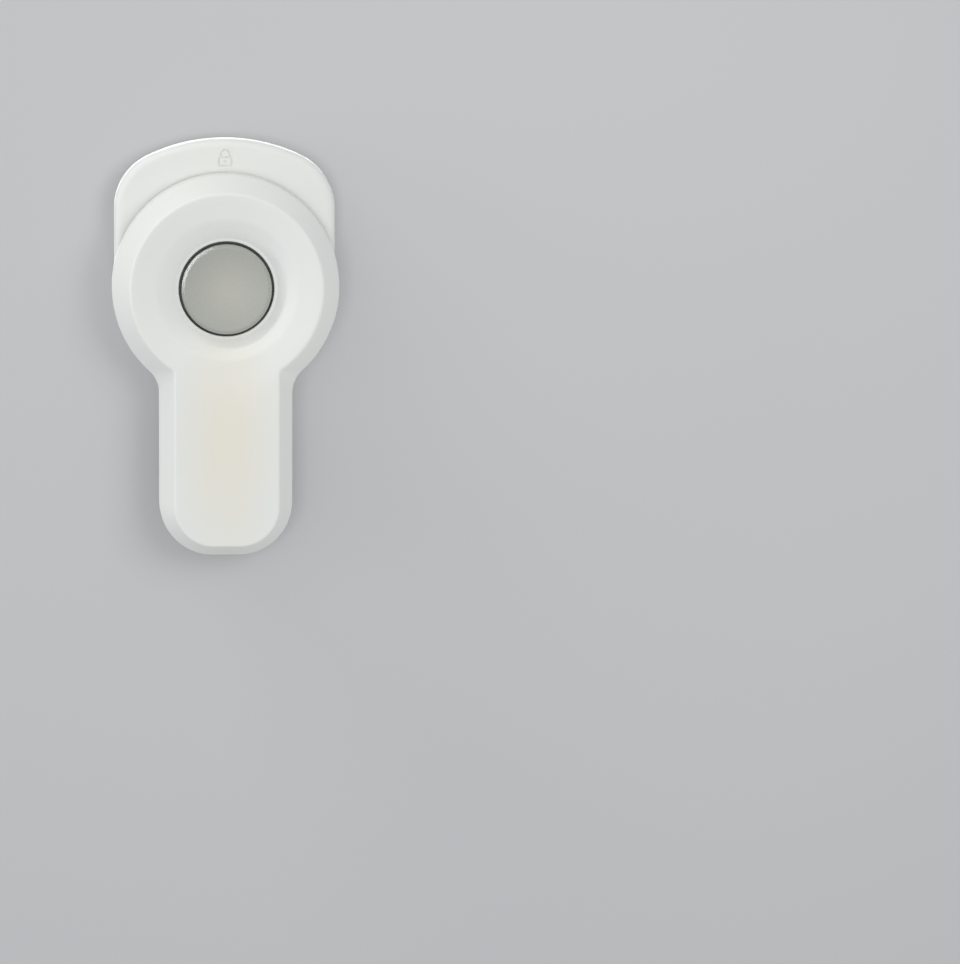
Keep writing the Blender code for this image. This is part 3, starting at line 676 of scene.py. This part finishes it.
def sign_cutters():
    """Cutters for the grooves of a small padlock: its shackle, the frame of its body and its keyhole."""
    low = BASE_FRONT - SIGN_DEPTH
    high = BASE_FRONT + SIGN_DEPTH
    half = SIGN_WIDTH / 2
    top = SIGN_BOTTOM + SIGN_HEIGHT
    foot_y = top - SIGN_LINE / 2
    hoop = np.concatenate([[(SIGN_SHACKLE, foot_y)],
                           arc(0, top + SIGN_LEG, SIGN_SHACKLE, 0, math.pi, steps=24),
                           [(-SIGN_SHACKLE, foot_y)]])
    band = stroke(hoop, SIGN_LINE)
    yield loft("shackle", [at_depth(band, low), at_depth(band, high)])
    outside = rounded_box(-half, SIGN_BOTTOM, half, top, SIGN_CORNER)
    inside = rounded_box(SIGN_LINE - half, SIGN_BOTTOM + SIGN_LINE, half - SIGN_LINE, top - SIGN_LINE,
                         SIGN_INNER_CORNER)
    yield loft("body", [at_depth(outside, low), at_depth(outside, high), at_depth(inside, high),
                        at_depth(inside, low)], closed=True)
    dot = circle(SIGN_DOT, steps=20, y=SIGN_BOTTOM + SIGN_HEIGHT / 2)
    yield loft("keyhole", [at_depth(dot, low), at_depth(dot, high)])


def make_base():
    """The base's shell with its hub, bosses, swing stop and sign."""
    base = loft("base_shell", base_rings(), closed=True)
    window = np.array([(-WINDOW_REACH, -WINDOW_HALF), (WINDOW_REACH, -WINDOW_HALF),
                       (WINDOW_REACH, WINDOW_HALF), (-WINDOW_REACH, WINDOW_HALF)])
    windows = loft("windows", [at_depth(window, WINDOW_REAR), at_depth(window, WINDOW_FRONT)])
    combine(base, "DIFFERENCE", windows)
    combine(base, "UNION", screw_bosses(INNER_FLOOR, BASE_CEILING, screw_places("base_screw")))
    stop_rear = BASE_FRONT - WALL / 2
    stop_front = BASE_FRONT + STOP_HEIGHT
    stop = rounded_path([(0, stop_rear), (STOP_RADIUS, stop_rear), (STOP_RADIUS, stop_front),
                         (0, stop_front)], [0, STOP_ROUND], steps=3)
    combine(base, "UNION", turned("stop", stop, POST_SIDES, [(0, STOP_REACH)]))
    for cutter in sign_cutters():
        combine(base, "DIFFERENCE", cutter)
    dress(base, "base", ["base_housing"], SHELL_WHITE)


def make_adhesive_pad():
    """Foam tape whose cut edge bulges a little between the panel and the base."""
    rings = []
    for share in np.linspace(0, 1, PAD_RINGS):
        outline = shield(PAD_INSET + PAD_BULGE * (2 * share - 1) ** 2)
        rings.append(at_depth(outline, PAD_THICKNESS * share))
    pad = dress(loft("foam_pad", rings), "base", ["adhesive_pad"], FOAM_TAPE)


# Arm
def soft_step(distance, softness):
    """Zero below zero and the distance itself above it, with a soft bend between the two."""
    return softness * np.logaddexp(0, distance / softness)


def face_drop(outline):
    """How far the arm's front lies behind its highest level, at each point of an outline."""
    reach = np.linalg.norm(outline, axis=1)
    from_tail = np.abs(np.arctan2(outline[:, 0], -outline[:, 1]))
    share = np.clip(1 - from_tail / TAIL_SECTOR, 0, 1)
    share = share * share * (3 - 2 * share)
    edge = DISH_RADIUS + DISH_RUNOUT * share
    dish_slope = DISH_DEPTH / (edge - SINK_RADIUS)
    sink_slope = SINK_DEPTH / (SINK_RADIUS - RIM_RADIUS)
    return (dish_slope * soft_step(edge - reach, DISH_SOFT * (1 + TAIL_SOFTER * share))
            + (sink_slope - dish_slope) * soft_step(SINK_RADIUS - reach, SINK_SOFT))


def arm_rings():
    """Rings over the arm from its rear edge up the slope, into the dish, through the hole and back inside."""
    outer = rounded_path([(ARM_REAR_LAND, ARM_REAR), (0, ARM_REAR), (0, SIDE_FRONT), (HEAD_SLOPE, FACE),
                          (FACE_FLAT, FACE)], [ARM_REAR_ROUND, SIDE_ROUND, FACE_ROUND], steps=7)
    rings = []
    for inset, depth in outer:
        ring = slope_ring(inset)
        share = max(0.0, (depth - SIDE_FRONT) / (FACE - SIDE_FRONT))
        rings.append(at_depth(ring, depth - face_drop(ring) * share))

    face = slope_ring(FACE_FLAT)
    radii = np.concatenate([np.linspace(*band) for band in SEAT_RADII])
    dish_edge = circle_like(face, radii[0])
    between = [dish_edge + (face - dish_edge) * share for share in FACE_SHARES]
    for ring in between + [circle_like(face, radius) for radius in radii]:
        rings.append(at_depth(ring, FACE - face_drop(ring)))

    lip_foot = FACE - face_drop(circle_like(face, radii[-1]))[0]
    lip_top = lip_foot + LIP_HEIGHT
    hole = rounded_path([(radii[-1], lip_foot), (RIM_RADIUS + LIP_WIDTH / 2, lip_top), (RIM_RADIUS, lip_top),
                         (RIM_RADIUS, RIM_REAR), (FLANGE_RADIUS + SEAT, RIM_REAR),
                         (SINK_RADIUS, FACE - DISH_DEPTH - WALL)],
                        [LIP_ROUND, RIM_ROUND, RIM_ROUND, 0])[1:]
    rings += [at_depth(circle_like(face, radius), depth) for radius, depth in hole]
    inner_face = keyhole(*INNER_FACE_INSETS, NECK_FILLET)
    inner_side = keyhole(WALL, WALL, WALL, NECK_FILLET + WALL)
    return rings + [at_depth(inner_face, FACE - WALL), at_depth(inner_side, INNER_SIDE_FRONT),
                    at_depth(inner_side, ARM_REAR)]


def make_arm():
    """The arm's shell with the bosses for its rear plate."""
    arm = loft("arm_shell", arm_rings(), closed=True)
    combine(arm, "UNION", screw_bosses(ARM_FLOOR + SEAT, FACE - WALL, screw_places("arm_screw")))
    dress(arm, "arm", ["arm_cover"], SHELL_WHITE)


def make_door_pad():
    """A soft block with full round rear edges, glued to the tail's rear."""
    profile = rounded_path([(DOOR_PAD_LAND, DOOR_PAD_FRONT), (0, DOOR_PAD_FRONT), (0, DOOR_PAD_REAR),
                            (DOOR_PAD_FLAT, DOOR_PAD_REAR)], [DOOR_PAD_ROUND, DOOR_PAD_EDGE], steps=7)
    rings = []
    for inset, depth in profile:
        outline = rounded_box(DOOR_PAD_LOW.x + inset, DOOR_PAD_LOW.z + inset, DOOR_PAD_HIGH.x - inset,
                              DOOR_PAD_HIGH.z - inset, DOOR_PAD_CORNER - inset)
        rings.append(at_depth(outline, depth))
    pad = dress(loft("door_bumper", rings), "arm", ["door_pad"], SOFT_RUBBER)


# Button
def make_button():
    """The button's cap: a dished front with a bevelled edge, a flanged skirt and a peg for the spring."""
    flat = BUTTON_RADIUS - BUTTON_EDGE
    shares = [i / BUTTON_DISH_STEPS for i in range(BUTTON_DISH_STEPS + 1)]
    dish = [(flat * share, BUTTON_FRONT - BUTTON_DISH * (1 - share ** 2)) for share in shares]
    below = rounded_path([dish[-2], dish[-1], (BUTTON_RADIUS, BUTTON_FRONT - BUTTON_EDGE_DROP),
                          (BUTTON_RADIUS, FLANGE_FRONT),
                          (FLANGE_RADIUS, FLANGE_FRONT), (FLANGE_RADIUS, FLANGE_REAR),
                          (SKIRT_INSIDE, FLANGE_REAR), (SKIRT_INSIDE, BUTTON_CEILING),
                          (PEG_RADIUS, BUTTON_CEILING), (PEG_RADIUS, PEG_REAR), (0, PEG_REAR)],
                         [BUTTON_EDGE_ROUND, BUTTON_EDGE_ROUND, 0, BUTTON_ROUND, BUTTON_ROUND, BUTTON_ROUND,
                          0, 0, BUTTON_ROUND])[1:]
    path = dish[:-1] + [tuple(point) for point in below]
    return dress(turned("button_dome", path), "button", ["button_cap"], BUTTON_GREY)


def make_spring():
    """A compression spring with a closed coil at both ends."""
    wire = SPRING_WIRE / 2
    turn = np.linspace(0, SPRING_TURNS, int(SPRING_TURNS * STEPS_PER_TURN) + 1)
    total = SPRING_FRONT - SPRING_REAR - 2 * wire
    closed = CLOSED_TURNS * CLOSED_PITCH
    depth = np.interp(turn, [0, CLOSED_TURNS, SPRING_TURNS - CLOSED_TURNS, SPRING_TURNS],
                      [0, closed, total - closed, total]) + SPRING_REAR + wire
    angle = 2 * math.pi * turn
    centre = np.stack([SPRING_RADIUS * np.cos(angle), SPRING_RADIUS * np.sin(angle), depth], axis=1)
    along = np.gradient(centre, axis=0)
    along /= np.linalg.norm(along, axis=1)[:, None]
    out = np.stack([np.cos(angle), np.sin(angle), np.zeros_like(angle)], axis=1)
    up = np.cross(along, out)
    round_wire = circle(wire, SPRING_SIDES)
    rings = [c + np.outer(round_wire[:, 0], o) + np.outer(round_wire[:, 1], u)
             for c, o, u in zip(centre, out, up)]
    spring = dress(loft("coil_spring", rings), "base", ["return_spring"], STEEL)
    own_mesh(spring)


# Screws
def cross(reach, half):
    """Outline of a plus sign."""
    corner = [(reach, -half), (reach, half), (half, half)]
    quarters = [(1, 0), (0, 1), (-1, 0), (0, -1)]
    return np.array([(x * cos - y * sin, x * sin + y * cos) for cos, sin in quarters for x, y in corner])


def make_screw(name, node, body):
    """A sunk-head screw with a cut thread and a cross recess, in the place of a plain CAD screw."""
    rear, end = depths(node)
    place = np.array(place_of(node))
    around = circle(1, SCREW_SIDES)
    turn = np.arange(SCREW_SIDES) / SCREW_SIDES
    neck = rear + SCREW_HEAD_RADIUS - SCREW_RADIUS
    head = [(SCREW_HEAD_RADIUS - 2 * SCREW_BEVEL, rear),
            (SCREW_HEAD_RADIUS - SCREW_BEVEL, rear + SCREW_BEVEL),
            (SCREW_RADIUS, neck)]
    rings = [at_depth(around * radius + place, depth) for radius, depth in head]
    step = SCREW_PITCH / THREAD_STEPS
    for depth in np.arange(neck + step, end, step):
        from_crest = np.abs(2 * ((depth / SCREW_PITCH - turn) % 1) - 1)
        ridge = np.clip(1 - THREAD_STEEPNESS * from_crest, 0, 1)
        taper = min(1.0, SCREW_TIP_SHARE + (1 - SCREW_TIP_SHARE) * (end - depth) / SCREW_TIP)
        radius = (SCREW_ROOT + (SCREW_RADIUS - SCREW_ROOT) * ridge) * taper
        rings.append(at_depth(around * radius[:, None] + place, depth))
    screw = loft(name, rings + [at_depth(around * SCREW_ROOT * SCREW_TIP_SHARE + place, end)])
    mouth = cross(RECESS_REACH, RECESS_HALF) + place
    floor = cross(RECESS_REACH / 2, RECESS_HALF / 2) + place
    cutter = loft("recess", [at_depth(mouth, rear - SCREW_BEVEL), at_depth(mouth, rear),
                             at_depth(floor, rear + RECESS_DEPTH)])
    combine(screw, "DIFFERENCE", cutter)
    dress(screw, body, [node], STEEL)


def make_screws():
    """The base's and the arm's screws, in turn."""
    for number in SCREW_NUMBERS:
        make_screw(f"plate_screw_{number}", f"base_screw_{number}", "base")
        make_screw(f"tail_screw_{number}", f"arm_screw_{number}", "arm")


def dress_hidden_nodes():
    """Pieces whose CAD shape is right keep it, and take a finished material."""
    looks = {"back_plate": HIDDEN_WHITE, "arm_back": HIDDEN_WHITE, "lock_latch": ACETAL,
             "button_plunger": ACETAL, "friction_washer": NYLON, "retaining_ring": STEEL}
    for node, material in looks.items():
        paint(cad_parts[node], material)


# Studio
def make_backdrop():
    """A pale wall that runs down into a floor, clear from behind and clear to all light."""
    bend = arc(BACKDROP_Y - BEND_RADIUS, FLOOR_Z + BEND_RADIUS, BEND_RADIUS, 0, -math.pi / 2, steps=16)
    profile = [(BACKDROP_Y, BACKDROP_TOP), *bend.tolist(), (BACKDROP_Y - FLOOR_REACH, FLOOR_Z)]
    points = [(side * BACKDROP_HALF, y, z) for y, z in profile for side in (-1, 1)]
    faces = [(2 * k, 2 * k + 2, 2 * k + 3, 2 * k + 1) for k in range(len(profile) - 1)]
    mesh = bpy.data.meshes.new("backdrop")
    mesh.from_pydata(points, [], faces)
    mesh.shade_smooth()
    backdrop = bpy.data.objects.new("backdrop", mesh)
    bpy.context.scene.collection.objects.link(backdrop)
    backdrop.visible_diffuse = False
    backdrop.visible_glossy = False
    backdrop.visible_transmission = False
    backdrop.visible_shadow = False

    material, tree, shader = new_material("backdrop_paper", base_color=PAPER_GREY, roughness=0.9,
                                          specular_ior_level=0.1)
    side = tree.nodes.new("ShaderNodeNewGeometry")
    clear = tree.nodes.new("ShaderNodeBsdfTransparent")
    choice = tree.nodes.new("ShaderNodeMixShader")
    tree.links.new(side.outputs["Backfacing"], choice.inputs["Fac"])
    tree.links.new(shader.outputs["BSDF"], choice.inputs[1])
    tree.links.new(clear.outputs["BSDF"], choice.inputs[2])
    tree.links.new(choice.outputs["Shader"], tree.nodes["Material Output"].inputs["Surface"])
    mesh.materials.append(material)


def make_world(front, behind, seen):
    """Soft light, weaker from behind, where the panel would be, and a pale background that shows."""
    world = bpy.data.worlds.new("studio")
    bpy.context.scene.world = world
    world.use_nodes = True
    tree = world.node_tree
    direction = tree.nodes.new("ShaderNodeTexCoord")
    split = tree.nodes.new("ShaderNodeSeparateXYZ")
    tree.links.new(direction.outputs["Generated"], split.inputs["Vector"])
    strength = spread(tree, split.outputs["Y"], front, behind, -BEHIND_CHANGE, BEHIND_CHANGE)
    soft = tree.nodes["Background"]
    soft.inputs["Color"].default_value = SOFT_LIGHT
    tree.links.new(strength, soft.inputs["Strength"])
    pale = tree.nodes.new("ShaderNodeBackground")
    pale.inputs["Color"].default_value = PALE_BACKGROUND
    pale.inputs["Strength"].default_value = seen
    path = tree.nodes.new("ShaderNodeLightPath")
    shown = path.outputs["Is Camera Ray"]
    for kind in ("Is Glossy Ray", "Is Transmission Ray"):
        either = tree.nodes.new("ShaderNodeMath")
        either.operation = "MAXIMUM"
        tree.links.new(shown, either.inputs[0])
        tree.links.new(path.outputs[kind], either.inputs[1])
        shown = either.outputs["Value"]
    choice = tree.nodes.new("ShaderNodeMixShader")
    tree.links.new(shown, choice.inputs["Fac"])
    tree.links.new(soft.outputs["Background"], choice.inputs[1])
    tree.links.new(pale.outputs["Background"], choice.inputs[2])
    tree.links.new(choice.outputs["Shader"], tree.nodes["World Output"].inputs["Surface"])


def add_lamp(name, away, target, distance, size, power, colour, glossy=True, card_for=None):
    """A lamp of (width, height) that shines on target, its width along a circle round the pivot.

    It may give no reflection of itself, or nothing but that on one piece, as a card in a studio does.
    """
    lamp = bpy.data.lights.new(name, "AREA")
    lamp.shape = "RECTANGLE"
    lamp.size, lamp.size_y = size
    lamp.energy = power
    lamp.color = colour
    holder = bpy.data.objects.new(name, lamp)
    holder.location = target + away * distance
    across = Vector((0, 1, 0)).cross(away).normalized()
    holder.rotation_euler = Matrix((across, away.cross(across), away)).transposed().to_euler()
    holder.visible_glossy = glossy
    if card_for:
        holder.visible_diffuse = False
        receivers = bpy.data.collections.new(name)
        receivers.objects.link(card_for)
        holder.light_linking.receiver_collection = receivers
    bpy.context.scene.collection.objects.link(holder)


def off_front(tilt, around):
    """A direction at a tilt from straight in front, turned around the pivot from +X, both in degrees."""
    tilt, around = math.radians(tilt), math.radians(around)
    return Vector((math.sin(tilt) * math.cos(around), -math.cos(tilt), math.sin(tilt) * math.sin(around)))


def add_lamps(target, button):
    """Key and window light from the upper left and left, soft fills, and a card for the button's edge."""
    white = (1.0, 1.0, 1.0)
    add_lamp("key", off_front(tilt=82, around=124), target, distance=0.9, size=(0.60, 0.07), power=2.20,
             colour=(1.0, 0.985, 0.94))
    add_lamp("window", off_front(tilt=82, around=174), target, distance=0.9, size=(0.45, 0.07), power=1.30,
             colour=(0.96, 0.985, 1.04))
    add_lamp("right_fill", off_front(tilt=28, around=28), target, distance=0.45, size=(0.2, 0.2), power=0.41,
             colour=(1.0, 1.0, 0.97), glossy=False)
    add_lamp("front_fill", off_front(tilt=10, around=180), target, distance=0.9, size=(0.3, 0.3), power=1.32,
             colour=white, glossy=False)
    add_lamp("rim_card", off_front(tilt=74, around=146), target, distance=0.9, size=(1.3, 0.15), power=7.0,
             colour=white, card_for=button)
    add_lamp("back_fill", off_front(tilt=168, around=70), target, distance=1.2, size=(0.8, 0.8), power=4.0,
             colour=white)


def make_camera(centre):
    """A long lens at the photograph's angle, aimed so that the lock stands where the photograph has it."""
    width, height = PICTURE
    back = Vector((math.sin(AZIMUTH) * math.cos(ELEVATION), -math.cos(AZIMUTH) * math.cos(ELEVATION),
                   math.sin(ELEVATION)))
    level = Vector((math.cos(AZIMUTH), math.sin(AZIMUTH), 0))
    right = Quaternion(back, ROLL) @ level
    up = back.cross(right)
    aim = centre + right * (width / 2 - LOCK_PIXEL[0]) * PIXEL - up * (height / 2 - LOCK_PIXEL[1]) * PIXEL
    data = bpy.data.cameras.new("camera")
    data.sensor_width = SENSOR_WIDTH
    data.lens = data.sensor_width * DISTANCE / (height * PIXEL)
    camera = bpy.data.objects.new("camera", data)
    camera.location = centre + back * DISTANCE
    turn = (aim - camera.location).to_track_quat("-Z", "Y") @ Quaternion((0, 0, 1), ROLL)
    camera.rotation_euler = turn.to_euler()
    bpy.context.scene.collection.objects.link(camera)
    bpy.context.scene.camera = camera


make_base()
make_adhesive_pad()
make_arm()
make_door_pad()
button_piece = make_button()
make_spring()
make_screws()
dress_hidden_nodes()

middle = (cad_box[0] + cad_box[1]) / 2
make_backdrop()
make_world(front=0.565, behind=0.48, seen=0.80)
add_lamps(middle, button_piece)
make_camera(middle)
bpy.context.scene.view_settings.view_transform = "Standard"
